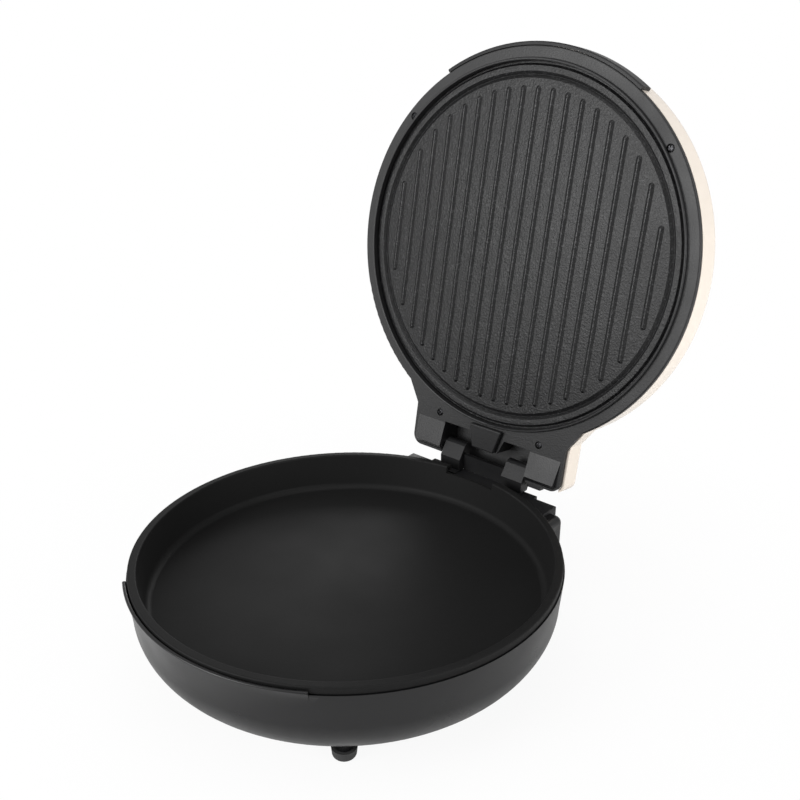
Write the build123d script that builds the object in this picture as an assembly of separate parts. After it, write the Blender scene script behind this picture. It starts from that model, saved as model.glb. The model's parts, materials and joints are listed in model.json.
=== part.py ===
from build123d import *
import os
from math import sqrt

# Pancake maker with a hinged lid, in millimetres, drawn with the lid held open.
# The pan's axis is X = Y = 0 and the front faces -Y. Base parts are drawn from the pan's
# rim at Z = 0, lid parts from the ring's face at Z = 0 as if the lid were shut.

# Clearances
RUN = 0.05  # radial, what turns or slides in a bore
SNUG = 0.02  # radial, screws and stems in their holes
SLIDE = 0.3  # flat guides and stops
LOOSE = 0.4  # buttons in the panel, openings around covers

# Pan
PAN_R = 160.0
PAN_MOUTH = PAN_R - 6.4
PAN_DEPTH = 30.0
PAN_DRAFT = 4.2
PAN_WALL = 2.0
PAN_FLOOR = 2.5
PAN_SKIRT = 5.0
PAN_SCREW_R = PAN_MOUTH - 13.6
PAN_BOSS_H = 5.5
NOTCH_W = 48.0
NOTCH_DEPTH = 6.0

# Base housing
BASE_R = PAN_R + 1.0
BASE_TOP = 5.5  # below the rim
BASE_DEPTH = 78.0
BASE_LEAN = 2.1
BASE_CORNER = (68.0, 49.0)
BASE_WALL = 2.5
LIP_R = BASE_R + 2.4
LIP_TOP = 2.0  # below the rim
LIP_ARC = 69.0
BLOCK_HALF = 87.0
BLOCK_REAR = BASE_R + 4.0
BLOCK_TOP = 13.0
BLOCK_BOTTOM = BASE_DEPTH - 4.0
BLOCK_CORNER = 6.5
BLOCK_EDGE = 5.5
COVER_R = BASE_R - BASE_LEAN - BASE_CORNER[0] - 2.4
COVER_HOLE = COVER_R - 8.5
COVER_SCREW_R = COVER_R - 4.5
COVER_T = 2.0
FOOT_H = 8.0
FOOT_R = 9.0
FOOT_STEM = 2.5
FRONT_FOOT = (81.0, -92.0)
REAR_FOOT = (66.0, BLOCK_REAR - 15)
RIM_Z = BASE_DEPTH + FOOT_H  # rim above the table

# Hinge
HINGE_Y = PAN_R + 18.9
HINGE_RISE = 7.4  # axis above the ring's face, lid shut
LID_GAP = 0.5  # ring above the rim, lid shut
OPEN_ANGLE = 100.2
EAR_BARREL = 9.5
LUG_BARREL = 5.2
PIN_R = 2.5
LUG = (22.0, 42.5)
EAR = (44.5, 74.0)
PIN_ENDS = (LUG[0] + 1, EAR[1] - 1)
FLOAT_TRAVEL = 12.0
SHAFT = (HINGE_Y - 18.3, HINGE_Y - 7.9)
LUG_FRONT = HINGE_Y - 11.9
WEB = (HINGE_Y - 5.9, HINGE_Y - 2.4)
TIE_T = 4.0

# Hinge box and cord inlet
BOX_HALF = 76.0
BOX_TOP = 10.0
BOX_FLOOR = BLOCK_BOTTOM - 14.0
BOX_WALL = 2.5
BOX_SIDE_REAR = HINGE_Y - 9.4
BOX_STEP = 54.5  # half width of the part that stands further back
BOX_REAR = HINGE_Y - 4.9
BOX_FRONT_R = PAN_R - 2.7
BOX_SCREW = (60.0, BLOCK_REAR - 13)
SHAFT_FOOT = BOX_FLOOR - 10.0  # lower end of the arms below the rim
GLAND_AT = (-64.5, 20.0 - BOX_FLOOR)
GLAND_BORE = 3.75
GLAND_BODY = 6.5
GLAND_FLANGE = 8.5

# Lid frame and shell
RING_R = PAN_R - 1.2
RING_T = 3.5
BEAD = (PAN_MOUTH - 6.1, PAN_MOUTH - 3.8)
BEAD_H = 3.2
TAIL_HALF = 77.0
TAIL_REAR = HINGE_Y + 8.1
POCKET_FRONT = HINGE_Y - 19.9
POCKET_TOP = 20.0
POCKET_WALL = 2.0
DUCT_FRONT = BEAD[1] + 1.4
DUCT_REAR = HINGE_Y - 7.4
DUCT_H = 4.4
DUCT_HOLE = HINGE_Y - 15.9
SHELL_R = RING_R + 0.2
SHELL_START = 3.7
SHELL_DEPTH = 40.0
SHELL_CORNER = (32.0, 16.0)
SHELL_WALL = 2.5
SHELL_TAIL = (79.0, TAIL_REAR + 1, POCKET_TOP + 5)  # half width, rear end, depth
FRAME_SCREW = (0.7513 * RING_R, -0.5945 * RING_R)
TAIL_SCREW = (51.4, HINGE_Y - 26.5)
GRIP_R = SHELL_R + 3.0
GRIP_DEPTH = 14.0
GRIP_ARC = 67.0

# Grill plate
FIELD_Z = 1.7
BAND = (BEAD[0] - 7.8, BEAD[0] - 3.5)
BAND_Z = 0.7
FIELD_R = BAND[0] - 3.7
PLATE_T = 2.2
PLATE_R = BEAD[1] + 2.2
PLATE_SCREW_R = PLATE_R - 2.1
RIDGES = 19
RIDGE_END_R = FIELD_R - 7.0
RIDGE_PITCH = 2 * (RIDGE_END_R - 6.15) / (RIDGES - 1)
RIDGE_W = 5.8  # across the foot
RIDGE_H = 1.4
RIDGE_SLOPE = 55.0  # degrees from upright

# Heaters, the same set under the pan and behind the plate
SHIELD_R = FIELD_R - 4.0
SHIELD_H = 16.0
SHIELD_T = 1.0
SHIELD_SCREW_R = 60.0
PLATE_STEP = SHIELD_R + 1.5
ELEMENT_R = SHIELD_R - 27.0
ELEMENT_TUBE = 3.25
ELEMENT_GAP = 14.0
THERMOSTAT_R = 9.0
THERMOSTAT_H = 4.5
FLANGE_SCREW = 13.0
FUSE_R = 2.2
FUSE_AT = (35.0, -35.0)

# Control panel
PANEL_Y = -98.0
PANEL_SIZE = (92.0, 30.0)
PANEL_Z = SHELL_DEPTH - 0.6
PANEL_T = 2.2
BUTTON_X = 24.0
BUTTON_R = 7.0
BUTTON_TRAVEL = 3.0
BUTTON_PROUD = 3.4
STEM_R = 2.5
LENS_X = 7.0
LENS_R = 2.5
BOARD_Z = PANEL_Z - 13.4
BOARD_T = 1.6
BOARD_POST_X = 39.0


def block(x0, x1, y0, y1, z0, z1):
    """Box between six limits."""
    return Pos((x0 + x1) / 2, (y0 + y1) / 2, (z0 + z1) / 2) * Box(x1 - x0, y1 - y0, z1 - z0)


def post(x, y, radius, z0, z1):
    """Upright cylinder between two heights."""
    return Pos(x, y, (z0 + z1) / 2) * Cylinder(radius, z1 - z0)


def turned(points, arc=360.0):
    """Turn an outline of (radius, height, corner radius) about Z."""
    corners = [(r, z) for r, z, _ in points]
    radii = [c for _, _, c in points]
    outline = FilletPolyline(*corners, radius=radii, close=True)
    return revolve(Plane.XZ * make_face(outline), Axis.Z, arc)


def front_arc(points, arc):
    """Turn an outline through an arc that is centred on the front."""
    return Rot(0, 0, -90 - arc / 2) * turned(points, arc)


def drum(rim_r, rim_z, shoulder_r, corner, top_z):
    """Round body with an upright wall, an elliptic corner and a flat top."""
    corner_w, corner_h = corner
    flat_r = shoulder_r - corner_w
    shoulder_z = top_z - corner_h
    side = Polyline((flat_r, top_z), (0, top_z), (0, rim_z), (rim_r, rim_z), (shoulder_r, shoulder_z))
    bend = EllipticalCenterArc((flat_r, shoulder_z), corner_w, corner_h)
    return revolve(Plane.XZ * make_face([*side.edges(), *bend.edges()]), Axis.Z)


def across(outline, x0, x1):
    """Extrude a (y, z) outline from x0 to x1."""
    return Pos(x0, 0, 0) * extrude(Plane.YZ * outline, x1 - x0)


def hull_about(centre, radius, *points):
    """Outline that wraps a circle and some points."""
    circle = Pos(*centre) * Circle(radius)
    return make_hull([*circle.edges(), *Polyline(*points).edges()])


def both(shape):
    """The shape and its mirror image on the other side."""
    return shape + mirror(shape, about=Plane.YZ)


def screw(head_r, head_h, shank_r, length):
    """Cross-recessed screw with its head above Z = 0."""
    body = turned([
        (0, -length, 0),
        (shank_r, -length, shank_r / 2),
        (shank_r, 0, 0),
        (head_r, 0, 0),
        (head_r, head_h, head_h / 2),
        (0, head_h, 0),
    ])
    arm = Box(1.3 * head_r, 0.3 * head_r, head_h)
    return body - Pos(0, 0, head_h) * (arm + Rot(0, 0, 90) * arm)


def spread(shape, radius, count, start=0.0):
    """Copies of the shape around the pan's axis."""
    return Part() + [place * shape for place in PolarLocations(radius, count, start)]


SMALL_HEAD = 3.0
SMALL_SHANK = 1.5
SMALL_HEAD_H = 1.8


def small_screw(length):
    return screw(SMALL_HEAD, SMALL_HEAD_H, SMALL_SHANK, length)


def pilot(x, y, z0, z1):
    """Hole that a small screw bites into."""
    return post(x, y, SMALL_SHANK + SNUG, z0, z1)


# Heater set, drawn with Z = 0 on the back of the heated plate


def plate_bosses():
    """Bosses on the heated plate for the shield and the thermostat."""
    tall = post(0, 0, 4.5, -0.5, SHIELD_H) - pilot(0, 0, SHIELD_H - 9, SHIELD_H + 1)
    low = post(FLANGE_SCREW, 0, 3.0, -0.5, THERMOSTAT_H) - pilot(FLANGE_SCREW, 0, 0.5, THERMOSTAT_H + 1)
    return spread(tall, SHIELD_SCREW_R, 3, 30) + both(low)


def element_rails():
    """Two rings that hold the heating element in place."""
    inner = ELEMENT_R - ELEMENT_TUBE - LOOSE
    outer = ELEMENT_R + ELEMENT_TUBE + LOOSE
    near = turned([(inner - 2.5, -0.5, 0), (inner, -0.5, 0), (inner, 4, 0), (inner - 2.5, 4, 0)])
    far = turned([(outer, -0.5, 0), (outer + 2.5, -0.5, 0), (outer + 2.5, 4, 0), (outer, 4, 0)])
    gap = block(-22, 22, ELEMENT_R - 12, ELEMENT_R + 12, -0.2, 6)
    return near + far - gap


def heating_element():
    """Ring-shaped tube with two upturned ends and their tabs."""
    arc = 360 - ELEMENT_GAP
    circle = Pos(ELEMENT_R, ELEMENT_TUBE) * Circle(ELEMENT_TUBE)
    ring = Rot(0, 0, 90 + ELEMENT_GAP / 2) * revolve(Plane.XZ * circle, Axis.Z, arc)
    end = Pos(ELEMENT_R, 0, ELEMENT_TUBE) * Sphere(ELEMENT_TUBE)
    end += post(ELEMENT_R, 0, ELEMENT_TUBE, ELEMENT_TUBE, 14)
    end += post(ELEMENT_R, 0, 1.6, 14, 18)
    end += Pos(ELEMENT_R, 0, 21) * Box(0.8, 6.3, 8)
    for side in (-1, 1):
        ring += Rot(0, 0, 90 + side * ELEMENT_GAP / 2) * end
    return ring


def heat_shield():
    top = SHIELD_H + SHIELD_T
    dish = turned([
        (0, SHIELD_H, 0),
        (SHIELD_R - SHIELD_T, SHIELD_H, 3),
        (SHIELD_R - SHIELD_T, 1, 0),
        (SHIELD_R, 1, 0),
        (SHIELD_R, top, 4),
        (0, top, 0),
    ])
    dish -= spread(post(0, 0, SMALL_SHANK + SLIDE, 0, top + 1), SHIELD_SCREW_R, 3, 30)
    dish -= post(0, 0, 18, SHIELD_H - 1, top + 1)
    slot = Pos(0, ELEMENT_R, SHIELD_H - 1) * extrude(SlotOverall(42, 14), 4)
    return dish - slot


def shield_screws():
    top = SHIELD_H + SHIELD_T
    return spread(Pos(0, 0, top) * small_screw(8), SHIELD_SCREW_R, 3, 30)


def thermostat():
    """Button thermostat on an oval flange, with two tabs."""
    body = post(0, 0, THERMOSTAT_R, 0, THERMOSTAT_H)
    body += post(0, 0, 7, THERMOSTAT_H, 2 * THERMOSTAT_H)
    body += Pos(0, 0, THERMOSTAT_H) * extrude(SlotOverall(2 * FLANGE_SCREW + 8, 8), 1)
    body += both(block(4.6, 5.4, -3.1, 3.1, 8, 16))
    return body - both(post(FLANGE_SCREW, 0, SMALL_SHANK + SLIDE, 4, 6))


def thermostat_screws():
    return both(Pos(FLANGE_SCREW, 0, THERMOSTAT_H + 1) * screw(2.6, 1.6, SMALL_SHANK, 4))


def thermal_fuse():
    """Small barrel with a lead at each end, lying on the plate."""
    barrel = Rot(0, 90, 0) * Cylinder(FUSE_R, 12)
    leads = Rot(0, 90, 0) * Cylinder(0.6, 30)
    return Pos(*FUSE_AT, FUSE_R) * (barrel + leads)


def fuse_clip():
    """Strap over the fuse with a foot on each side."""
    arch = Rot(0, 90, 0) * Cylinder(FUSE_R + 1, 6)
    arch += block(-3, 3, -FUSE_R - 1, FUSE_R + 1, -FUSE_R, 0)
    arch += block(-3, 3, -9, 9, -FUSE_R, 1 - FUSE_R)
    arch &= block(-3, 3, -9, 9, -FUSE_R, FUSE_R + 1)
    arch -= Rot(0, 90, 0) * Cylinder(FUSE_R + SNUG, 8)
    arch -= block(-4, 4, -FUSE_R - SNUG, FUSE_R + SNUG, -FUSE_R - 1, 0)
    return Pos(*FUSE_AT, FUSE_R) * arch


# Base


def lower_pan():
    floor_r = PAN_MOUTH - PAN_DRAFT
    under = -PAN_DEPTH - PAN_FLOOR
    pan = turned([
        (0, -PAN_DEPTH, 0),
        (floor_r, -PAN_DEPTH, 5),
        (PAN_MOUTH, 0, 1.2),
        (PAN_R, 0, 1.2),
        (PAN_R, -PAN_SKIRT, 0),
        (PAN_R - PAN_WALL, -PAN_SKIRT, 0),
        (PAN_R - PAN_WALL, -PAN_WALL, 0),
        (PAN_MOUTH + PAN_WALL, -PAN_WALL, 0),
        (floor_r + PAN_WALL, under, 7),
        (0, under, 0),
    ])
    pan -= block(-NOTCH_W / 2, NOTCH_W / 2, PAN_MOUTH - 10, PAN_R + 5, -NOTCH_DEPTH, 5)
    pan += Pos(0, 0, under) * Rot(0, 180, 0) * (plate_bosses() + element_rails())
    boss = post(0, 0, 4.5, under - PAN_BOSS_H, under + 0.5)
    boss -= pilot(0, 0, under - PAN_BOSS_H - 1, under - 0.5)
    return pan + spread(boss, PAN_SCREW_R, 4, 45)


def base_bowl(inset):
    """Solid bowl of the base, smaller by the inset."""
    corner_w, corner_h = BASE_CORNER
    corner = (corner_w - inset, corner_h - inset)
    shoulder = BASE_R - BASE_LEAN - inset
    return Rot(180, 0, 0) * drum(BASE_R - inset, BASE_TOP - inset, shoulder, corner, BASE_DEPTH - inset)


def rear_block(inset):
    """Squared block behind the bowl, smaller by the inset."""
    half = BLOCK_HALF - inset
    front = BASE_R - 71
    body = block(-half, half, front, BLOCK_REAR - inset, inset - BLOCK_BOTTOM, -BLOCK_TOP - inset)
    body = fillet(body.edges().filter_by(Axis.Z).sort_by(Axis.Y)[-2:], BLOCK_CORNER - inset)
    body = fillet(body.faces().sort_by(Axis.Z)[-1].edges().sort_by(Axis.Y)[1:], BLOCK_EDGE - inset)
    return fillet(body.faces().sort_by(Axis.Z)[0].edges().sort_by(Axis.Y)[1:], BLOCK_EDGE - inset)


def base_lip():
    """Thin lip over the front of the bowl, for the fingers."""
    wall = BASE_R - 0.7
    inner = PAN_R + 0.7
    lip = front_arc([
        (inner, -LIP_TOP, 0.8),
        (LIP_R, -LIP_TOP, 1.0),
        (LIP_R, -BASE_TOP - 3, 3),
        (wall, -BASE_TOP - 9, 0),
        (wall - 1.5, -BASE_TOP - 9, 0),
        (wall - 1.5, -BASE_TOP, 0),
        (inner, -BASE_TOP, 0),
    ], LIP_ARC)
    return lip


def foot_seats():
    """Bosses that the feet plug into."""
    front = post(*FRONT_FOOT, FOOT_R - 2.5, -BASE_DEPTH, -BASE_DEPTH + 14)
    rear = post(*REAR_FOOT, FOOT_R - 2.5, -BASE_DEPTH, -BLOCK_BOTTOM + 4)
    holes = post(*FRONT_FOOT, FOOT_STEM + SNUG, -BASE_DEPTH - 1, -BASE_DEPTH + 7.5)
    holes += post(*REAR_FOOT, FOOT_STEM + SNUG, -BASE_DEPTH - 1, -BASE_DEPTH + 7.5)
    return both(front + rear), both(holes)


def lower_housing():
    outer = base_bowl(0) + rear_block(0)
    shell = outer - base_bowl(BASE_WALL) - rear_block(BASE_WALL)
    under = PAN_DEPTH + PAN_FLOOR + PAN_BOSS_H
    arm = block(-6, BASE_R - PAN_SCREW_R, -7, 7, -under - 3, -under)
    arm -= post(0, 0, SMALL_SHANK + SLIDE, -under - 4, -under + 1)
    shell += outer & spread(arm, PAN_SCREW_R, 4, 45)
    boss = post(0, 0, 3.5, -BASE_DEPTH + 1, -BASE_DEPTH + 10)
    shell += spread(boss, COVER_SCREW_R, 4, 45)
    shell += both(post(*BOX_SCREW, 5, -BLOCK_BOTTOM + 1, -BOX_FLOOR))
    seats, stems = foot_seats()
    shell += seats
    shell += base_lip()
    shell -= stems
    shell -= both(pilot(*BOX_SCREW, -BOX_FLOOR - 8, -BOX_FLOOR + 1))
    shell -= spread(pilot(0, 0, -BASE_DEPTH - 1, -BASE_DEPTH + 9), COVER_SCREW_R, 4, 45)
    shell -= post(0, 0, COVER_HOLE, -BASE_DEPTH - 1, -BASE_DEPTH + BASE_WALL + 1)
    opening = BOX_HALF + SLIDE
    return shell - block(-opening, opening, BOX_FRONT_R - 32, BLOCK_REAR + 5, -BOX_FLOOR, 5)


def bottom_cover():
    """Vented disc under the base."""
    disc = turned([
        (0, -COVER_T, 0),
        (COVER_R, -COVER_T, 0.8),
        (COVER_R, 0, 0),
        (COVER_HOLE - LOOSE, 0, 0),
        (COVER_HOLE - LOOSE, 2, 0),
        (COVER_HOLE - LOOSE - 2, 2, 0),
        (COVER_HOLE - LOOSE - 2, 0, 0),
        (0, 0, 0),
    ])
    slot = Pos(0, 0, -COVER_T - 1) * extrude(SlotOverall(20, 3.2), COVER_T + 2)
    disc -= spread(slot, 32, 10)
    disc -= spread(slot, 60, 20)
    disc -= spread(post(0, 0, SMALL_SHANK + SLIDE, -COVER_T - 1, 1), COVER_SCREW_R, 4, 45)
    return Pos(0, 0, -BASE_DEPTH) * disc


def foot(x, y):
    """Domed foot with a flat sole and a stem that plugs into its seat."""
    sole = -RIM_Z
    body = turned([
        (0, sole, 0),
        (FOOT_R - 0.8, sole, 3),
        (FOOT_R, -BASE_DEPTH, 0),
        (FOOT_STEM, -BASE_DEPTH, 0),
        (FOOT_STEM, -BASE_DEPTH + 7, 1),
        (0, -BASE_DEPTH + 7, 0),
    ])
    return Pos(x, y, 0) * body


def box_body(inset):
    """Cap with a part that stands further back, smaller by the inset."""
    half = BOX_HALF - inset
    step = BOX_STEP - inset
    floor = inset - BOX_FLOOR
    top = -BOX_TOP - inset
    front = BOX_FRONT_R - 27
    body = block(-half, half, front, BOX_SIDE_REAR - inset, floor, top)
    return body + block(-step, step, front, BOX_REAR - inset, floor, top)


def hinge_box():
    """Cap behind the pan with a sleeve for each arm of the floating bracket."""
    tie_top = -SHAFT_FOOT + TIE_T
    sleeve_end = tie_top + FLOAT_TRAVEL + SLIDE
    box = box_body(0)
    box = fillet(box.faces().sort_by(Axis.Z)[-1].edges().sort_by(Axis.Y)[1:], 0.8)
    box -= box_body(BOX_WALL)
    x0, x1 = LUG[0] - SLIDE, LUG[1] + SLIDE
    y0, y1 = SHAFT[0] - SLIDE, SHAFT[1] + SLIDE
    sleeve = block(x0 - 2.5, x1 + 2.5, y0 - 1.6, BOX_REAR - 1, sleeve_end, -BOX_TOP - 1)
    stop = block(29, 35, y0 + 3, BOX_REAR - 1, -BOX_FLOOR + 1, -SHAFT_FOOT - SLIDE)
    box += both(sleeve + stop)
    box -= both(block(x0, x1, y0, y1, sleeve_end - 1, 0))
    box -= post(0, 0, BOX_FRONT_R, -BOX_FLOOR - 1, 0)
    box -= both(post(*BOX_SCREW, SMALL_SHANK + SLIDE, -BOX_FLOOR - 1, -BOX_FLOOR + 5))
    hole = Rot(90, 0, 0) * Cylinder(GLAND_BODY + SNUG, 3 * BOX_WALL)
    return box - Pos(GLAND_AT[0], BOX_SIDE_REAR, GLAND_AT[1]) * hole


def cord_gland():
    """Round inlet for the mains lead, clamped in the hinge box's rear wall."""
    body = turned([
        (GLAND_BORE, -11, 0),
        (6, -11, 0),
        (6, -5, 0),
        (GLAND_FLANGE, -5, 0),
        (GLAND_FLANGE, -BOX_WALL, 0),
        (GLAND_BODY, -BOX_WALL, 0),
        (GLAND_BODY, 0, 0),
        (GLAND_FLANGE, 0, 0),
        (GLAND_FLANGE, 3, 1.2),
        (GLAND_BORE, 3, 0),
    ])
    return Pos(GLAND_AT[0], BOX_SIDE_REAR, GLAND_AT[1]) * Rot(-90, 0, 0) * body


def terminal_block():
    """Three-way screw terminal on the floor of the rear block."""
    floor = -BLOCK_BOTTOM + BASE_WALL
    rear = BLOCK_REAR - 19
    front = rear - 14
    body = block(-25, 25, front, rear, floor, floor + 5)
    for x in (-15, 0, 15):
        way = block(x - 5.5, x + 5.5, front, rear, floor + 4, floor + 11)
        way -= post(x, front + 3.5, 2, floor + 8, floor + 12)
        way -= post(x, rear - 3.5, 2, floor + 8, floor + 12)
        body += way
    return body


# Floating bracket, drawn from the pan's rim


def floating_bracket():
    """Two arms tied together inside the box, with a lug on each and a web between the lugs."""
    hinge_z = LID_GAP + HINGE_RISE
    axis = (HINGE_Y, hinge_z)
    sole = -BOX_TOP + LOOSE
    brow = (HINGE_Y - 4.4, hinge_z + 3.5)
    chin = (LUG_FRONT, hinge_z - 7.1)
    lug = across(hull_about(axis, LUG_BARREL, brow, chin, (LUG_FRONT, sole), (WEB[1], sole)), *LUG)
    arm = block(*LUG, *SHAFT, -SHAFT_FOOT, sole + 0.5)
    bracket = both(lug + arm)
    bracket += block(-LUG[1], LUG[1], *SHAFT, -SHAFT_FOOT, -SHAFT_FOOT + TIE_T)
    bracket += block(-LUG[0] - 1, LUG[0] + 1, *WEB, sole, hinge_z - 3.4)
    bore = across(Pos(*axis) * Circle(PIN_R), PIN_ENDS[0], LUG[1] + 1)
    return bracket - both(bore)


def hinge_pin(side):
    """Plain pin with eased ends, pressed into the arm."""
    length = PIN_ENDS[1] - PIN_ENDS[0]
    pin = turned([(0, 0, 0), (PIN_R, 0, 0.4), (PIN_R, length, 0.4), (0, length, 0)])
    return Pos(side * PIN_ENDS[0], HINGE_Y, LID_GAP + HINGE_RISE) * Rot(0, side * 90, 0) * pin


# Lid, drawn from the ring's face


def lid_frame():
    """Ring with its bead, the plate behind it, the two ears and the pocket between them."""
    bead_in, bead_out = BEAD
    ring = turned([
        (bead_in, -BEAD_H, 0.9),
        (bead_out - 0.3, -BEAD_H, 0.9),
        (bead_out, 0, 0.4),
        (RING_R, 0, 1.0),
        (RING_R, RING_T, 0),
        (bead_in, RING_T, 0),
    ])
    half = TAIL_HALF
    outline = Polyline(
        (half + 11.5, RING_R - 27.8), (half, RING_R - 8.8), (half, TAIL_REAR), (-half, TAIL_REAR),
        (-half, RING_R - 8.8), (-half - 11.5, RING_R - 27.8), close=True)
    tail = extrude(make_face(outline), RING_T)
    tail = fillet(tail.edges().filter_by(Axis.Z).sort_by(Axis.Y)[-2:], 9)
    frame = ring + (tail - post(0, 0, bead_out + 1, -1, RING_T + 1))
    roof = POCKET_TOP + POCKET_WALL
    wall = POCKET_FRONT - 2.5
    frame += block(-EAR[0] - 2, EAR[0] + 2, wall, TAIL_REAR - 2, RING_T - 0.5, roof)
    frame += both(ear(roof))
    frame += stop_nose()
    core = extrude(make_face(duct_outline(2.0, POCKET_FRONT - 1)), roof - 1)
    pocket = block(-EAR[0], EAR[0], POCKET_FRONT, TAIL_REAR + 20, -20, POCKET_TOP)
    frame -= pocket - core
    frame -= both(across(Pos(HINGE_Y, HINGE_RISE) * Circle(PIN_R + RUN), EAR[0] - 1, EAR[1] + 1))
    frame -= post(0, DUCT_HOLE, 3.5, -1, roof + 1)
    for x, y in (FRAME_SCREW, TAIL_SCREW):
        frame -= both(post(x, y, SMALL_SHANK + SLIDE, -1, RING_T + 1))
        frame -= both(post(x, y, SMALL_HEAD + SLIDE, -1, SMALL_HEAD_H))
    frame -= spread(pilot(0, 0, 1, RING_T + 1), PLATE_SCREW_R, 6)
    return frame


def ear(roof):
    """Hinge ear with a sloping flat face, a crisp lower edge and a rounded underside."""
    axis = (HINGE_Y, HINGE_RISE)
    outline = hull_about(
        axis, EAR_BARREL, (POCKET_FRONT + 1, 0), (HINGE_Y + 2.1, -4.2),
        (POCKET_FRONT + 5, roof), (TAIL_REAR - 2, roof))
    body = across(outline, *EAR)
    body -= block(EAR[0] + 4, EAR[1] - 3, HINGE_Y - 10.9, HINGE_Y + 4.1, HINGE_RISE + 6, roof + 1)
    inner, outer = EAR
    rear = HINGE_Y + EAR_BARREL + 0.1
    plan = FilletPolyline(
        (inner, POCKET_FRONT - 9), (outer, POCKET_FRONT - 9), (outer, POCKET_FRONT + 3),
        (outer - 2.5, rear), (inner, rear), radius=[0, 0, 0, 8, 0], close=True)
    return body & Pos(0, 0, -10) * extrude(make_face(plan), roof + 20)


def stop_nose():
    """Small nose behind the barrel of the right ear."""
    return block(EAR[0], EAR[0] + 13, HINGE_Y, HINGE_Y + 12.4, HINGE_RISE - 4, HINGE_RISE + 2)


def duct_outline(grow, front):
    """Tapered outline of the cable duct."""
    rear = DUCT_REAR
    return Polyline(
        (16.5 + grow, front), (11 + grow, rear), (-11 - grow, rear), (-16.5 - grow, front), close=True)


def cable_duct():
    """Small cover over the passage of the lead into the lid."""
    body = extrude(make_face(duct_outline(0, DUCT_FRONT)), -DUCT_H)
    body = fillet(body.edges().filter_by(Axis.Z), 1.5)
    body = fillet(body.faces().sort_by(Axis.Z)[0].edges(), 1.2)
    return body - post(0, DUCT_HOLE, 3.5, -3, 1)


def lid_tail(inset):
    """Rear extension of the shell, smaller by the inset."""
    half, rear, depth = SHELL_TAIL
    half -= inset
    rear -= inset
    start = SHELL_START - inset
    wide = half + 13
    outline = Polyline(
        (wide, SHELL_R - 59), (wide, SHELL_R - 31), (half, SHELL_R - 12), (half, rear),
        (-half, rear), (-half, SHELL_R - 12), (-wide, SHELL_R - 31), (-wide, SHELL_R - 59), close=True)
    body = Pos(0, 0, start) * extrude(make_face(outline), depth - inset - start)
    body = fillet(body.edges().filter_by(Axis.Z).sort_by(Axis.Y)[-2:], 8 - inset)
    return fillet(body.faces().sort_by(Axis.Z)[-1].edges().sort_by(Axis.Y)[1:], 5 - inset)


def lid_dome(inset):
    """Round part of the shell, smaller by the inset."""
    corner_w, corner_h = SHELL_CORNER
    corner = (corner_w - inset, corner_h - inset)
    radius = SHELL_R - inset
    return drum(radius, SHELL_START - inset, radius, corner, SHELL_DEPTH - inset)


def lid_shell():
    outer = lid_dome(0) + lid_tail(0)
    shell = outer - lid_dome(SHELL_WALL) - lid_tail(SHELL_WALL)
    bosses = both(post(*FRAME_SCREW, 4.5, RING_T, SHELL_DEPTH) + post(*TAIL_SCREW, 4.5, RING_T, SHELL_DEPTH))
    shell += bosses & (outer + post(0, 0, SHELL_R - 2, RING_T, SHELL_START + 1) + lid_seat())
    shell += both(post(BOARD_POST_X, PANEL_Y, 3, BOARD_Z + BOARD_T, PANEL_Z - 0.5))
    shell -= both(pilot(*FRAME_SCREW, 0, RING_T + 10) + pilot(*TAIL_SCREW, 0, RING_T + 10))
    shell -= both(pilot(BOARD_POST_X, PANEL_Y, BOARD_Z, BOARD_Z + 9))
    width, length = PANEL_SIZE
    recess = extrude(RectangleRounded(width + 2 * LOOSE, length + 2 * LOOSE, length / 2), 10)
    window = extrude(RectangleRounded(width - 24, length - 9, 4), 20)
    shell -= Pos(0, PANEL_Y, PANEL_Z) * recess
    shell -= Pos(0, PANEL_Y, PANEL_Z - 10) * window
    rear = SHELL_TAIL[1]
    opening = EAR[1] + LOOSE
    return shell - block(-opening, opening, rear - 8, rear + 5, 0, POCKET_TOP + POCKET_WALL + 0.2)


def lid_seat():
    """Room under the shell's tail for the lower ends of its screw bosses."""
    x, y = TAIL_SCREW
    return block(-x - 8, x + 8, y - 7.4, y + 7.6, RING_T, SHELL_START + 1)


def lid_grip():
    """Lip on the front edge of the lid."""
    inner = SHELL_R + RUN
    grip = front_arc([
        (inner, 0, 0),
        (GRIP_R, 0, 1.2),
        (GRIP_R, GRIP_DEPTH, 2.4),
        (inner, GRIP_DEPTH, 0),
    ], GRIP_ARC)
    return grip


def ridge(index):
    """One raised bar of the grill, with round ends and sloping sides."""
    x = (index - (RIDGES - 1) / 2) * RIDGE_PITCH
    length = 2 * sqrt(RIDGE_END_R**2 - x**2)
    bar = extrude(SlotOverall(length, RIDGE_W), -RIDGE_H, taper=RIDGE_SLOPE)
    return Pos(x, 0, FIELD_Z + 0.1) * Rot(0, 0, 90) * bar


def grill_plate():
    band_in, band_out = BAND
    back = FIELD_Z + PLATE_T
    deep = 3.1
    edge = BEAD[0] - SLIDE
    plate = turned([
        (0, FIELD_Z, 0),
        (FIELD_R - 1.4, FIELD_Z, 0.5),
        (FIELD_R + 0.6, deep, 0.5),
        (band_in - 1.2, deep, 0.5),
        (band_in, BAND_Z, 0.6),
        (band_out, BAND_Z, 0.6),
        (band_out + 0.6, deep, 0.5),
        (edge, deep, 0),
        (edge, RING_T, 0),
        (PLATE_R, RING_T, 0),
        (PLATE_R, RING_T + 1.7, 0),
        (PLATE_STEP, RING_T + 1.7, 0),
        (PLATE_STEP, back, 0),
        (0, back, 0),
    ])
    plate += [ridge(index) for index in range(RIDGES)]
    plate += Pos(0, 0, back) * (plate_bosses() + element_rails())
    plate -= both(post(*FRAME_SCREW, 5, RING_T - 0.2, 8))
    return plate - spread(post(0, 0, SMALL_SHANK + SLIDE, RING_T - 1, 8), PLATE_SCREW_R, 6)


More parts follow.
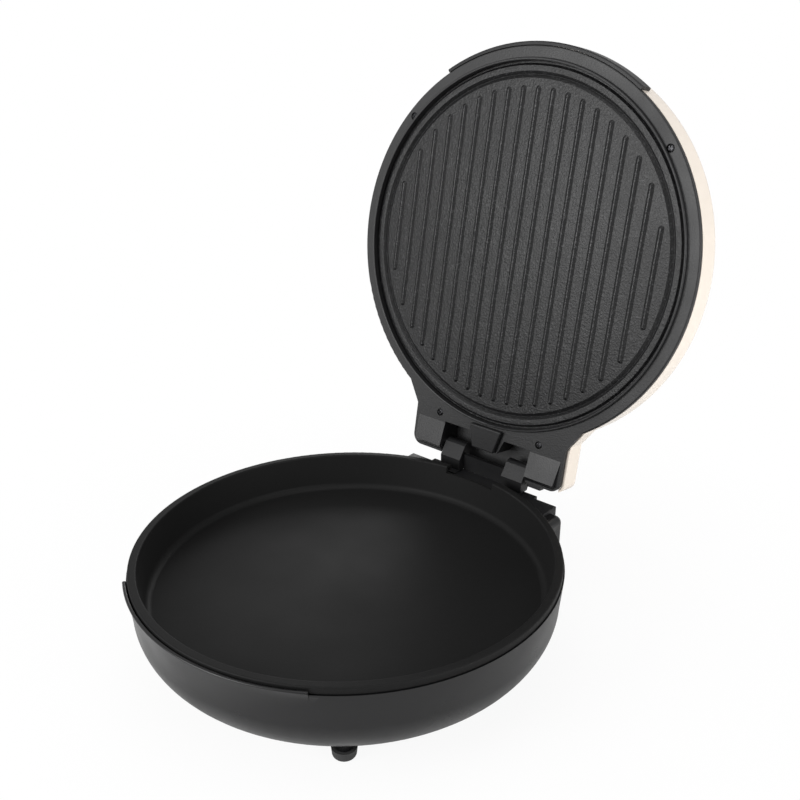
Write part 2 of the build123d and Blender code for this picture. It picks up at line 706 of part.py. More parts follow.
def panel_holes(radius, x):
    return both(post(x, PANEL_Y, radius, PANEL_Z - 1, PANEL_Z + PANEL_T + 1))


def control_panel():
    width, length = PANEL_SIZE
    panel = extrude(RectangleRounded(width, length, length / 2 - LOOSE), PANEL_T)
    panel = fillet(panel.faces().sort_by(Axis.Z)[-1].edges(), 0.8)
    panel = Pos(0, PANEL_Y, PANEL_Z) * panel
    return panel - panel_holes(BUTTON_R + LOOSE, BUTTON_X) - panel_holes(LENS_R + SNUG, LENS_X)


def indicator_lens(side):
    """Clear stud with a round head, held from below by its collar."""
    top = PANEL_Z + PANEL_T
    lens = turned([
        (0, PANEL_Z - 2, 0),
        (LENS_R + 0.8, PANEL_Z - 2, 0),
        (LENS_R + 0.8, PANEL_Z, 0),
        (LENS_R, PANEL_Z, 0),
        (LENS_R, top + 0.9, 0.8),
        (0, top + 0.9, 0),
    ])
    return Pos(side * LENS_X, PANEL_Y, 0) * lens


def push_button(side):
    """Round button with a collar under the panel and a stem into its switch."""
    top = PANEL_Z + PANEL_T + BUTTON_PROUD
    collar = PANEL_Z - SLIDE
    body = turned([
        (0, BOARD_Z + 5, 0),
        (STEM_R, BOARD_Z + 5, 0.3),
        (STEM_R, collar - 2.2, 0),
        (BUTTON_R + 1.6, collar - 2.2, 0),
        (BUTTON_R + 1.6, collar, 0),
        (BUTTON_R, collar, 0),
        (BUTTON_R, top, 1.5),
        (0, top + 0.6, 0),
    ])
    return Pos(side * BUTTON_X, PANEL_Y, 0) * body


def switch_module():
    """Circuit board with a switch under each button."""
    half = BOARD_POST_X + 5
    top = BOARD_Z + BOARD_T
    board = block(-half, half, PANEL_Y - 11, PANEL_Y + 11, BOARD_Z, top)
    tall = PANEL_Z - SLIDE - 2.2 - BUTTON_TRAVEL - SLIDE
    switch = post(BUTTON_X, PANEL_Y, 6, top - 0.5, tall)
    switch -= post(BUTTON_X, PANEL_Y, STEM_R + RUN, top, tall + 1)
    board += both(switch)
    board += both(post(LENS_X, PANEL_Y, 2.4, top - 0.5, PANEL_Z - 3))
    return board - both(post(BOARD_POST_X, PANEL_Y, SMALL_SHANK + SLIDE, BOARD_Z - 1, top + 1))


def frame_screws():
    """Screws through the ring and the tail plate into the shell."""
    set_in = Rot(180, 0, 0) * small_screw(9)
    return both(Pos(*FRAME_SCREW, SMALL_HEAD_H) * set_in + Pos(*TAIL_SCREW, SMALL_HEAD_H) * set_in)


def turned_over(shape):
    return Rot(180, 0, 0) * shape


# Assembly

on_base = Pos(0, 0, RIM_Z)
under_pan = on_base * Pos(0, 0, -PAN_DEPTH - PAN_FLOOR) * Rot(0, 180, 0)
hinge_at = Pos(0, HINGE_Y, RIM_Z + LID_GAP + HINGE_RISE)
on_lid = hinge_at * Rot(-OPEN_ANGLE, 0, 0) * Pos(0, -HINGE_Y, -HINGE_RISE)
behind_plate = on_lid * Pos(0, 0, FIELD_Z + PLATE_T)

arm_z = -PAN_DEPTH - PAN_FLOOR - PAN_BOSS_H - 3
box_screw = Pos(*BOX_SCREW, -BOX_FLOOR + BOX_WALL) * small_screw(9)
nodes = {
    "lower_housing": on_base * lower_housing(),
    "bottom_cover": on_base * bottom_cover(),
    "bottom_cover_screws": on_base * spread(
        Pos(0, 0, -BASE_DEPTH - COVER_T) * turned_over(small_screw(9)), COVER_SCREW_R, 4, 45),
    "front_foot_left": on_base * foot(-FRONT_FOOT[0], FRONT_FOOT[1]),
    "front_foot_right": on_base * foot(*FRONT_FOOT),
    "rear_foot_left": on_base * foot(-REAR_FOOT[0], REAR_FOOT[1]),
    "rear_foot_right": on_base * foot(*REAR_FOOT),
    "lower_pan": on_base * lower_pan(),
    "pan_screws": on_base * spread(
        Pos(0, 0, arm_z) * turned_over(small_screw(8)), PAN_SCREW_R, 4, 45),
    "hinge_box": on_base * hinge_box(),
    "hinge_box_screws": on_base * both(box_screw),
    "cord_gland": on_base * cord_gland(),
    "terminal_block": on_base * terminal_block(),
    "floating_bracket": on_base * floating_bracket(),
    "hinge_pin_left": on_base * hinge_pin(-1),
    "hinge_pin_right": on_base * hinge_pin(1),
    "lid_frame": on_lid * lid_frame(),
    "lid_shell": on_lid * lid_shell(),
    "lid_grip": on_lid * lid_grip(),
    "grill_plate": on_lid * grill_plate(),
    "plate_screws": on_lid * spread(Pos(0, 0, RING_T + 1.7) * small_screw(4), PLATE_SCREW_R, 6),
    "frame_screws": on_lid * frame_screws(),
    "cable_duct": on_lid * cable_duct(),
    "control_panel": on_lid * control_panel(),
    "indicator_lens_left": on_lid * indicator_lens(-1),
    "indicator_lens_right": on_lid * indicator_lens(1),
    "switch_module": on_lid * switch_module(),
    "switch_screws": on_lid * both(Pos(BOARD_POST_X, PANEL_Y, BOARD_Z) * turned_over(small_screw(8))),
    "button_left": on_lid * push_button(-1),
    "button_right": on_lid * push_button(1),
}
heaters = {
    "heating_element": heating_element(),
    "heat_shield": heat_shield(),
    "shield_screws": shield_screws(),
    "thermostat": thermostat(),
    "thermostat_screws": thermostat_screws(),
    "thermal_fuse": thermal_fuse(),
    "fuse_clip": fuse_clip(),
}
for name, shape in heaters.items():
    nodes["lower_" + name] = under_pan * shape
    nodes["upper_" + name] = behind_plate * shape

# The assembly stands on Z = 0 with its bounding box centred on the origin
limits = nodes["lower_pan"].bounding_box()
for shape in nodes.values():
    limits = limits.add(shape.bounding_box())
centred = Pos(-limits.center().X, -limits.center().Y, -limits.min.Z)

os.makedirs("parts", exist_ok=True)
for name, shape in nodes.items():
    export_step(centred * shape, os.path.join("parts", name + ".step"))

print("size", limits.size)
print("pan axis", (centred * on_base).position)
print("hinge axis", (centred * hinge_at).position)
for side in (-1, 1):
    press = centred * on_lid * Pos(side * BUTTON_X, PANEL_Y, PANEL_Z)
    print("button", press.position, "press axis", -press.z_axis.direction)
for x, y in (FRONT_FOOT, REAR_FOOT):
    print("sole", (centred * Pos(x, y, 0)).position)
print("inlet mouth", (centred * on_base * Pos(GLAND_AT[0], BOX_SIDE_REAR + 3, GLAND_AT[1])).position)
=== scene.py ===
# %% [markdown]
# # A pancake maker with its lid held open
#
# The object is a round electric cooker on a worktop. A dark bowl carries a deep black pan.
# A cream lid stands open behind it and shows a ridged plate in a black ring.
# The solids come from a frame that is already measured, so this file does not place them.
# It gives every piece its finish, and remakes in finer form the few that the eye reads first.

# %% Load the measured frame
import json
from math import atan2, cos, pi, radians, sin

import bmesh
import bpy
from mathutils import Matrix, Vector


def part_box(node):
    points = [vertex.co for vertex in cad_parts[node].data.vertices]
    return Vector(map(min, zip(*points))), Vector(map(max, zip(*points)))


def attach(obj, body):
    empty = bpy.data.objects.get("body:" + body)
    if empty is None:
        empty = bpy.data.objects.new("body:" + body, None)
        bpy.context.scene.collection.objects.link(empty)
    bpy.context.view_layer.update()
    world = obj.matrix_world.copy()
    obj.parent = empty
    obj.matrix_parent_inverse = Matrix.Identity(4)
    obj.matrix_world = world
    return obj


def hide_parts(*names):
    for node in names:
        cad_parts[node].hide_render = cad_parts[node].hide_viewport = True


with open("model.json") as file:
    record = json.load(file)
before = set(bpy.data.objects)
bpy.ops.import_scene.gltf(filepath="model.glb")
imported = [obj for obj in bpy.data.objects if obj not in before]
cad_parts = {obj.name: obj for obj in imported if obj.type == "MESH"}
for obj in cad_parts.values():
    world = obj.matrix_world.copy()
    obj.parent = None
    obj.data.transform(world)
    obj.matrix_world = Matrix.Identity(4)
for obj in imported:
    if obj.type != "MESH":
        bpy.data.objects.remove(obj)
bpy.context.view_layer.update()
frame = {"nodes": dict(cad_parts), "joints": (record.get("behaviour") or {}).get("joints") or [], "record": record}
nodes = frame["nodes"]

pan_low, pan_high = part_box("lower_pan")
PAN_R = (pan_high[0] - pan_low[0]) / 2
RIM = Vector((0, pan_low[1] + PAN_R, pan_high[2]))
MM = 0.001
bpy.context.scene.view_settings.view_transform = "Standard"
print("pan radius and rim centre in metres:", round(PAN_R, 4), [round(v, 4) for v in RIM])

# %% [markdown]
# The lid is easiest to draw shut, with its ring flat on the pan's rim and the pan's axis as
# zero. One matrix then swings anything drawn so to where the lid stands open. The base is
# drawn about the same axis, from the rim down.

# %% Where the lid and the base are drawn
hinge = next(joint for joint in frame["joints"] if joint["name"] == "lid_hinge")
HINGE = Vector(hinge["pos_m"])
OPEN = radians(hinge["range_deg"][1])
LID_GAP = 0.5 * MM
shut = Vector((0, HINGE.y - RIM.y, HINGE.z - RIM.z - LID_GAP))
ON_LID = Matrix.Translation(HINGE) @ Matrix.Rotation(-OPEN, 4, "X") @ Matrix.Translation(-shut)
ON_BASE = Matrix.Translation(RIM)
print("hinge", [round(v / MM, 1) for v in shut], "mm from the ring's centre")
print("the lid opens by", round(OPEN, 3), "radians")

# %% [markdown]
# ## Camera
#
# The picture was taken from the front right, a little above the rim, with a normal lens.
# The camera is set by how far it stands from the middle of the pan's rim, by its two
# angles, and by how far the rim sits off the middle of the picture.

# %% Camera
AZIMUTH = radians(40.21)
ELEVATION = radians(23.52)
ROLL = radians(0.12)
DISTANCE = 0.76748
OFF_CENTRE = (0.03933, 0.10982)
LENS = 46.31

back = Vector((sin(AZIMUTH) * cos(ELEVATION), -cos(AZIMUTH) * cos(ELEVATION), sin(ELEVATION)))
level = Vector((cos(AZIMUTH), sin(AZIMUTH), 0))
upright = back.cross(level)
right = cos(ROLL) * level + sin(ROLL) * upright
up = cos(ROLL) * upright - sin(ROLL) * level

camera_data = bpy.data.cameras.new("camera")
camera_data.lens = LENS
camera_data.sensor_width = 36
camera = bpy.data.objects.new("camera", camera_data)
bpy.context.scene.collection.objects.link(camera)
place = RIM + OFF_CENTRE[0] * right + OFF_CENTRE[1] * up + DISTANCE * back
camera.matrix_world = Matrix.Translation(place) @ Matrix((right, up, back)).transposed().to_4x4()
bpy.context.scene.camera = camera
print("camera at", [round(v, 3) for v in place])

# %% [markdown]
# ## Colours and nodes
#
# Colours are written as the hex values that a colour picker shows. The shader wants linear
# light, so one function turns them. A second small function adds a node, sets it up and
# links it, and every material below is made with it.

# %% Colour and node helpers


def colour(text, alpha=1.0):
    """Linear RGBA from an sRGB hex value."""
    parts = [int(text[i:i + 2], 16) / 255 for i in (1, 3, 5)]
    linear = [c / 12.92 if c <= 0.04045 else ((c + 0.055) / 1.055) ** 2.4 for c in parts]
    return (*linear, alpha)


def add(tree, kind, inputs=None, **settings):
    """A node of that kind: settings are its properties, inputs its sockets' values or sources."""
    node = tree.nodes.new(kind)
    for name, value in settings.items():
        setattr(node, name, value)
    for key, value in (inputs or {}).items():
        socket = node.inputs[key]
        if isinstance(value, bpy.types.NodeSocket):
            tree.links.new(value, socket)
        else:
            socket.default_value = value
    return node


# %% [markdown]
# ## World, floor and lamps
#
# The object stands on white, in even studio light. The camera sees plain white. What lights
# the object is a softer grey, so that pale plastic keeps its colour also with the lid shut,
# and a gloss or a clear piece sees a tone between the two. Large lamps do the rest. The one
# in front gives the black ring and the plate their sheen, the one behind draws the far edge
# of the pan, the one above fills the pan, and the one on the right lights the bowl's side.

# %% World
SOFT_LIGHT = 0.42
MIRRORED = 0.43


def looked_at(tree, mirrored=1.0):
    """One where the camera looks, and that share where a gloss or a clear piece does."""
    path = add(tree, "ShaderNodeLightPath").outputs
    other = add(tree, "ShaderNodeMath", {0: path["Is Glossy Ray"], 1: path["Is Transmission Ray"]},
                operation="MAXIMUM")
    share = add(tree, "ShaderNodeMath", {0: other.outputs[0], 1: mirrored}, operation="MULTIPLY")
    return add(tree, "ShaderNodeMath", {0: share.outputs[0], 1: path["Is Camera Ray"]},
               operation="MAXIMUM").outputs[0]


world = bpy.data.worlds.new("studio")
bpy.context.scene.world = world
world.use_nodes = True
tree = world.node_tree
tree.nodes.clear()
soft = add(tree, "ShaderNodeBackground", {"Color": colour("#ffffff"), "Strength": SOFT_LIGHT})
white = add(tree, "ShaderNodeBackground", {"Color": colour("#ffffff"), "Strength": 1.0})
mixed = add(tree, "ShaderNodeMixShader", {
    0: looked_at(tree, MIRRORED), 1: soft.outputs[0], 2: white.outputs[0]})
add(tree, "ShaderNodeOutputWorld", {"Surface": mixed.outputs[0]})

# %% [markdown]
# The floor is a paper sweep. Near the object it keeps a faint shadow, and further out it
# turns into the white of the world, so that no horizon shows. Both changes go by the
# distance from the middle, in metres.

# %% Floor
FLOOR_HALF = 6.0
mesh = bpy.data.meshes.new("floor")
mesh.from_pydata(
    [(FLOOR_HALF * x, FLOOR_HALF * y, 0) for x, y in ((-1, -1), (1, -1), (1, 1), (-1, 1))],
    [], [(0, 1, 2, 3)])
floor = bpy.data.objects.new("floor", mesh)
bpy.context.scene.collection.objects.link(floor)
paper = bpy.data.materials.new("white paper sweep")
paper.use_nodes = True
tree = paper.node_tree
tree.nodes.clear()
place = add(tree, "ShaderNodeTexCoord").outputs["Object"]
away = add(tree, "ShaderNodeVectorMath", {0: place}, operation="LENGTH").outputs["Value"]
fade = add(tree, "ShaderNodeMapRange", {
    "Value": away, "From Min": 0.15, "From Max": 0.45, "To Min": 0.92, "To Max": 1.0})
shaded = add(tree, "ShaderNodeMapRange", {
    "Value": away, "From Min": 0.2, "From Max": 0.7, "To Min": 0.17, "To Max": 0.6})
seen = add(tree, "ShaderNodeMath", {0: looked_at(tree, shaded.outputs[0]), 1: fade.outputs[0]},
           operation="MULTIPLY")
matt = add(tree, "ShaderNodeBsdfDiffuse", {"Color": colour("#f0f0f0")})
glow = add(tree, "ShaderNodeEmission", {"Color": colour("#ffffff"), "Strength": 1.0})
mixed = add(tree, "ShaderNodeMixShader", {
    0: seen.outputs[0], 1: matt.outputs[0], 2: glow.outputs[0]})
add(tree, "ShaderNodeOutputMaterial", {"Surface": mixed.outputs[0]})
mesh.materials.append(paper)

# %% Lamps


def lamp(name, where, aim, size, power):
    """A square area lamp, in metres and watts, that looks at a point."""
    data = bpy.data.lights.new(name, "AREA")
    data.size = size
    data.energy = power
    made = bpy.data.objects.new(name, data)
    bpy.context.scene.collection.objects.link(made)
    made.location = where
    made.rotation_euler = (Vector(aim) - Vector(where)).to_track_quat("-Z", "Y").to_euler()


lamp("lamp front", (-0.46, -1.45, 0.7), (0, 0.1, 0.25), 0.85, 22)
lamp("lamp above", (0.1, -0.1, 1.6), (0, 0, 0.1), 1.0, 5.3)
lamp("lamp right", (1.4, 0.2, 0.45), (0, 0, 0.1), 0.8, 9)
lamp("lamp behind", (-0.9, 1.2, 0.8), (0, -0.05, 0.1), 0.7, 5)

# %% [markdown]
# ## Moulded plastics
#
# The bowl, the hinge and the small black parts come out of steel moulds whose faces were
# spark-eroded, which leaves a grain of half a millimetre to a millimetre and a satin sheen.
# The cream shell comes out of a polished mould, so it is glossy and only waves very slightly.
# A noise at the grain's size drives the bump. On the hinge and the ring it is drawn larger
# than life, so that it shows. A second noise, some centimetres across, lets the gloss drift
# a little, as it does where plastic cooled at different speeds and where hands have been.
# The uniform values go straight to the shader.

# %% Moulded plastic
PLASTIC_CLOUD = 45 * MM


def moulded(name, base, roughness, grain_mm, depth, level=0.5, drift=0.06):
    """A plastic with the grain of its mould."""
    material = bpy.data.materials.new(name)
    material.use_nodes = True
    tree = material.node_tree
    tree.nodes.clear()
    where = add(tree, "ShaderNodeTexCoord").outputs["Object"]
    grain = add(tree, "ShaderNodeTexNoise", {
        "Vector": where, "Scale": 1 / (grain_mm * MM), "Detail": 3.0, "Roughness": 0.6})
    cloud = add(tree, "ShaderNodeTexNoise", {
        "Vector": where, "Scale": 1 / PLASTIC_CLOUD, "Detail": 2.0})
    gloss = add(tree, "ShaderNodeMapRange", {
        "Value": cloud.outputs["Fac"], "From Min": 0.3, "From Max": 0.7,
        "To Min": roughness - drift, "To Max": roughness + drift})
    tone = add(tree, "ShaderNodeHueSaturation", {"Color": colour(base)})
    shade = add(tree, "ShaderNodeMapRange", {
        "Value": cloud.outputs["Fac"], "From Min": 0.3, "From Max": 0.7,
        "To Min": 1 - drift / 2, "To Max": 1 + drift / 2})
    tree.links.new(shade.outputs[0], tone.inputs["Value"])
    relief = add(tree, "ShaderNodeBump", {
        "Height": grain.outputs["Fac"], "Strength": 1.0, "Distance": depth * MM})
    shader = add(tree, "ShaderNodeBsdfPrincipled", {
        "Base Color": tone.outputs[0], "Roughness": gloss.outputs[0], "Normal": relief.outputs[0],
        "IOR": 1.5, "Specular IOR Level": level})
    add(tree, "ShaderNodeOutputMaterial", {"Surface": shader.outputs[0]})
    return material


# Near black, and it goes pale only where the bowl turns away from the eye.
bowl_abs = moulded("ABS moulded satin black", "#101011", 0.33, 0.8, 0.006, 0.35)
# A coarser grain, drawn larger than life so that it shows as a fine speckle.
hinge_nylon = moulded("glass-filled nylon moulded black", "#151516", 0.46, 1.2, 0.15, 0.3)
# The ring and its ears: the same black with a broader sheen, its grain also drawn larger.
ring_pbt = moulded("PBT moulded grained black", "#151516", 0.46, 1.2, 0.20, 0.45)
# Warm white, glossy, with soft broad highlights.
cream_abs = moulded("ABS moulded gloss cream", "#f5eadd", 0.18, 6.0, 0.010, drift=0.02)
# Glossy black caps that mirror the room.
button_abs = moulded("ABS moulded gloss black", "#141415", 0.12, 4.0, 0.004, drift=0.02)
# Dull and soft, with hardly a highlight.
foot_rubber = moulded("EPDM rubber moulded", "#363636", 0.72, 0.7, 0.03)
# Off-white and slightly waxy, behind the plate and in the base.
natural_nylon = moulded("nylon moulded natural", "#e2ddcf", 0.5, 0.8, 0.02)
phenolic = moulded("phenolic moulded", "#d3cbbb", 0.55, 0.9, 0.03)
board_mask = moulded("glass-epoxy board with solder mask", "#1d5a33", 0.3, 1.2, 0.02)

# %% [markdown]
# ## Non-stick coating
#
# Pan and plate are aluminium, blasted and then sprayed with a black fluoropolymer coat. The
# coat follows the blasted skin, so it is never flat: a pebbled bump breaks the light up, and
# the tops of the pebbles are painted a paler grey, a painted glint that stands for the light
# they catch. The pan was coated over a smoother blast and looks softer. One noise makes both,
# so that a painted glint always sits on a pebble. The real grain is half a millimetre, and
# here it is drawn coarser, so that it shows in the picture.
# The crests of the ridges are rubbed smoother than their flanks. The shader finds them by
# their height in the shut lid, and lowers the roughness there.

# %% Non-stick coating
COAT_CLOUD = 60 * MM
COAT_DRIFT = 0.04
CREST_TOP = 0.15 * MM
CREST_EDGE = 0.45 * MM


def coated(name, base, painted_glint, roughness, pebble_mm, depth, level, worn=0.0):
    """A sprayed black coat over blasted aluminium, smoother by some where a ridge is worn."""
    material = bpy.data.materials.new(name)
    material.use_nodes = True
    tree = material.node_tree
    tree.nodes.clear()
    where = add(tree, "ShaderNodeTexCoord").outputs["Object"]
    pebbles = add(tree, "ShaderNodeTexNoise", {
        "Vector": where, "Scale": 1 / (pebble_mm * MM), "Detail": 3.0, "Roughness": 0.6})
    # Painted glint: the highest pebbles get the paler colour, which stands for light on their tops.
    painted_glint_mask = add(tree, "ShaderNodeMapRange", {
        "Value": pebbles.outputs["Fac"], "From Min": 0.56, "From Max": 0.72, "To Min": 0.0, "To Max": 1.0})
    tone = add(tree, "ShaderNodeMix", {
        "Factor": painted_glint_mask.outputs[0], "A": colour(base), "B": colour(painted_glint)}, data_type="RGBA")
    cloud = add(tree, "ShaderNodeTexNoise", {
        "Vector": where, "Scale": 1 / COAT_CLOUD, "Detail": 2.0})
    gloss = add(tree, "ShaderNodeMapRange", {
        "Value": cloud.outputs["Fac"], "From Min": 0.3, "From Max": 0.7,
        "To Min": roughness - COAT_DRIFT, "To Max": roughness + COAT_DRIFT})
    from_ring = add(tree, "ShaderNodeVectorMath", {
        0: where, 1: ON_LID.translation}, operation="SUBTRACT")
    height = add(tree, "ShaderNodeVectorMath", {
        0: from_ring.outputs[0], 1: ON_LID.to_3x3() @ Vector((0, 0, 1))}, operation="DOT_PRODUCT")
    crest = add(tree, "ShaderNodeMapRange", {
        "Value": height.outputs["Value"], "From Min": CREST_TOP, "From Max": CREST_EDGE,
        "To Min": worn, "To Max": 0.0})
    rough = add(tree, "ShaderNodeMath", {0: gloss.outputs[0], 1: crest.outputs[0]}, operation="SUBTRACT")
    relief = add(tree, "ShaderNodeBump", {
        "Height": pebbles.outputs["Fac"], "Strength": 1.0, "Distance": depth * MM})
    shader = add(tree, "ShaderNodeBsdfPrincipled", {
        "Base Color": tone.outputs["Result"], "Roughness": rough.outputs[0], "Normal": relief.outputs[0],
        "IOR": 1.38, "Specular IOR Level": level})
    add(tree, "ShaderNodeOutputMaterial", {"Surface": shader.outputs[0]})
    return material


# Soft black with a faint painted glint, almost even, a little paler towards the far side.
pan_coat = coated(
    "non-stick coat sprayed on drawn aluminium", "#191919", "#1f1f1f", 0.54, 0.9, 0.012, 0.16)
# The same coat over a coarser blast: dark grey with a fine painted glint on the pebble tops.
plate_coat = coated(
    "non-stick coat sprayed on cast aluminium", "#0e0e0f", "#3c3c3d", 0.40, 1.7, 0.5, 0.58, 0.14)

# %% [markdown]
# ## Metals
#
# Screws and pins are plated or blackened steel, the shields are rolled aluminium, and the
# heating tubes have turned brown in their first firing. A metal keeps the default IOR, and
# its colour is that of its reflection. Fine noise in the roughness stands for the plating's
# grain, and a noise stretched along one direction for the lines that rolling leaves.

# %% Metal
METAL_CLOUD = 12 * MM
METAL_DRIFT = 0.08
METAL_GRAIN_DEPTH = 0.004 * MM


def metal(name, base, stain, roughness, grain_mm, stretch=(1, 1, 1)):
    """A bare or plated metal with the grain of its working."""
    material = bpy.data.materials.new(name)
    material.use_nodes = True
    tree = material.node_tree
    tree.nodes.clear()
    where = add(tree, "ShaderNodeTexCoord").outputs["Object"]
    lines = add(tree, "ShaderNodeMapping", {"Vector": where, "Scale": stretch})
    grain = add(tree, "ShaderNodeTexNoise", {
        "Vector": lines.outputs[0], "Scale": 1 / (grain_mm * MM), "Detail": 3.0})
    cloud = add(tree, "ShaderNodeTexNoise", {
        "Vector": where, "Scale": 1 / METAL_CLOUD, "Detail": 3.0})
    tone = add(tree, "ShaderNodeMix", {
        "Factor": cloud.outputs["Fac"], "A": colour(base), "B": colour(stain)}, data_type="RGBA")
    gloss = add(tree, "ShaderNodeMapRange", {
        "Value": grain.outputs["Fac"], "From Min": 0.3, "From Max": 0.7,
        "To Min": roughness - METAL_DRIFT, "To Max": roughness + METAL_DRIFT})
    relief = add(tree, "ShaderNodeBump", {
        "Height": grain.outputs["Fac"], "Strength": 1.0, "Distance": METAL_GRAIN_DEPTH})
    shader = add(tree, "ShaderNodeBsdfPrincipled", {
        "Base Color": tone.outputs["Result"], "Roughness": gloss.outputs[0], "Normal": relief.outputs[0],
        "Metallic": 1.0})
    add(tree, "ShaderNodeOutputMaterial", {"Surface": shader.outputs[0]})
    return material


# Bright and cool, a little cloudy.
zinc_steel = metal("zinc-plated steel", "#c3c5c8", "#a9abad", 0.3, 0.5)
# Dark grey with a metal edge, as the four screws in the ring.
black_steel = metal("blackened steel", "#4a4a4c", "#3c3c3e", 0.42, 0.5)
# Brown-grey and dull.
fired_tube = metal("oxidised stainless tube", "#6a645c", "#4d463d", 0.46, 0.8)
# Pale, with fine lines along the sheet.
rolled_sheet = metal("rolled aluminium sheet", "#d0d1d3", "#bfc0c2", 0.34, 0.5, (0.05, 1, 1))

# %% [markdown]
# ## Lamp lenses
#
# The two lenses are clear polycarbonate, dyed in the mass. They let light through and mirror
# the room, so transmission does most of the work and the tint is the colour of what passes.

# %% Lens
LENS_CLOUD = 2 * MM


def lens(name, tint):
    """A clear dyed plastic."""
    material = bpy.data.materials.new(name)
    material.use_nodes = True
    tree = material.node_tree
    tree.nodes.clear()
    where = add(tree, "ShaderNodeTexCoord").outputs["Object"]
    cloud = add(tree, "ShaderNodeTexNoise", {
        "Vector": where, "Scale": 1 / LENS_CLOUD, "Detail": 2.0})
    gloss = add(tree, "ShaderNodeMapRange", {"Value": cloud.outputs["Fac"], "To Min": 0.04, "To Max": 0.1})
    shader = add(tree, "ShaderNodeBsdfPrincipled", {
        "Base Color": colour(tint), "Roughness": gloss.outputs[0], "IOR": 1.58,
        "Transmission Weight": 0.7})
    add(tree, "ShaderNodeOutputMaterial", {"Surface": shader.outputs[0]})
    return material


amber_lens = lens("polycarbonate moulded clear amber", "#e8952a")
green_lens = lens("polycarbonate moulded clear green", "#4fb85a")

# %% Finishes on the measured pieces
by_slot = {
    "housing": bowl_abs, "pan_coat": pan_coat, "plate_coat": plate_coat, "frame_black": ring_pbt,
    "cream": cream_abs, "black_plastic": hinge_nylon, "feet": foot_rubber, "steel": zinc_steel,
    "dark_screw": black_steel, "element": fired_tube, "shield": rolled_sheet, "board": board_mask,
    "terminal": natural_nylon, "ceramic": phenolic, "amber": amber_lens, "green": green_lens,
    "button": button_abs,
}
for entry in frame["record"]["subparts"]:
    piece = nodes[entry["node"]]
    piece.data.materials.clear()
    piece.data.materials.append(by_slot[entry["material_slot"]])
print("finishes on", len(nodes), "pieces")

# %% [markdown]
# ## Outlines with eased corners
#
# Cast, pressed and moulded things have no knife edges, and the thin bright line along a rim
# is what tells the eye so. An outline is therefore given as points with a corner radius
# each, and one function puts a short arc in place of every corner. Turning the outline about
# the upright axis then gives a plate or a screw.

# %% Outline and lathe helpers
TINY = 1e-6


def eased(outline, steps=4):
    """Replace the inner corners of an outline of (across, along, radius) with arcs."""
    points = [Vector(outline[0][:2])]
    for before, here, after in zip(outline, outline[1:], outline[2:]):
        corner = Vector(here[:2])
        one = (Vector(before[:2]) - corner).normalized()
        two = (Vector(after[:2]) - corner).normalized()
        if here[2] == 0:
            points.append(corner)
            continue
        half = one.angle(two) / 2
        middle = corner + (one + two).normalized() * here[2] / sin(half)
        first = corner + one * here[2] * cos(half) / sin(half)
        spoke = first - middle
        swing = (pi - 2 * half) * (1 if one.cross(two) < 0 else -1)
        for step in range(steps + 1):
            turn = swing * step / steps
            points.append(middle + Vector((
                spoke.x * cos(turn) - spoke.y * sin(turn), spoke.x * sin(turn) + spoke.y * cos(turn))))
    points.append(Vector(outline[-1][:2]))
    return points


def lathe(name, points, around, arc=2 * pi):
    """Turn an outline in millimetres about the upright axis into a mesh in metres."""
    shape = bmesh.new()
    whole = abs(arc - 2 * pi) < TINY
    columns = around if whole else around + 1
    rings = []
    for across, along in points:
        if across < TINY:
            rings.append([shape.verts.new((0, 0, along * MM))] * columns)
            continue
        rings.append([
            shape.verts.new((
                across * MM * cos(arc * i / around), across * MM * sin(arc * i / around), along * MM))
            for i in range(columns)])
    for low, high in zip(rings, rings[1:]):
        for i in range(around):
            j = (i + 1) % columns
            corners = list(dict.fromkeys((low[i], low[j], high[j], high[i])))
            if len(corners) > 2:
                shape.faces.new(corners)
    bmesh.ops.recalc_face_normals(shape, faces=shape.faces)
    mesh = bpy.data.meshes.new(name)
    shape.to_mesh(mesh)
    shape.free()
    return mesh


def smooth(mesh, angle=30):
    """Shade smoothly over every edge flatter than the angle."""
    mesh.shade_smooth()
    mesh.set_sharp_from_angle(angle=radians(angle))


def held(name, mesh):
    """An object that lends its mesh to a node tree and isn't part of the scene."""
    return bpy.data.objects.new(name, mesh)


# %% [markdown]
# ## Trees that repeat a shape
#
# Ridges and screws repeat, so Geometry Nodes place them. A tree gets a named input for each
# size, and one function runs it on an empty carrier and keeps the result as a plain mesh.
# After that, nothing in the scene depends on the modifier.

# %% Node tree helpers
KINDS = {int: "NodeSocketInt", float: "NodeSocketFloat", bpy.types.Object: "NodeSocketObject",
         bpy.types.Material: "NodeSocketMaterial"}


def node_tree(name, **inputs):
    """An empty tree with one named input for each size, shape or finish."""
    tree = bpy.data.node_groups.new(name, "GeometryNodeTree")
    tree.interface.new_socket("Geometry", in_out="OUTPUT", socket_type="NodeSocketGeometry")
    for label, kind in inputs.items():
        tree.interface.new_socket(label.replace("_", " "), in_out="INPUT", socket_type=KINDS[kind])
    return tree, add(tree, "NodeGroupInput").outputs


def grown(name, tree, **values):
    """Run a tree with these inputs and return its result as a plain object."""
    carrier = bpy.data.objects.new(name, bpy.data.meshes.new(name))
    bpy.context.scene.collection.objects.link(carrier)
    modifier = carrier.modifiers.new("tree", "NODES")
    modifier.node_group = tree
    for item in tree.interface.items_tree:
        if item.in_out == "INPUT":
            modifier[item.identifier] = values[item.name.replace(" ", "_")]
    graph = bpy.context.evaluated_depsgraph_get()
    mesh = bpy.data.meshes.new_from_object(carrier.evaluated_get(graph))
    carrier.modifiers.remove(modifier)
    shape = bmesh.new()
    shape.from_mesh(mesh)
    bmesh.ops.recalc_face_normals(shape, faces=shape.faces)
    shape.to_mesh(mesh)
    shape.free()
    mesh.materials.clear()
    mesh.materials.append(values["Finish"])
    mesh.polygons.foreach_set("material_index", [0] * len(mesh.polygons))
    carrier.data = mesh
    print(name, "has", len(mesh.polygons), "faces")
    return carrier


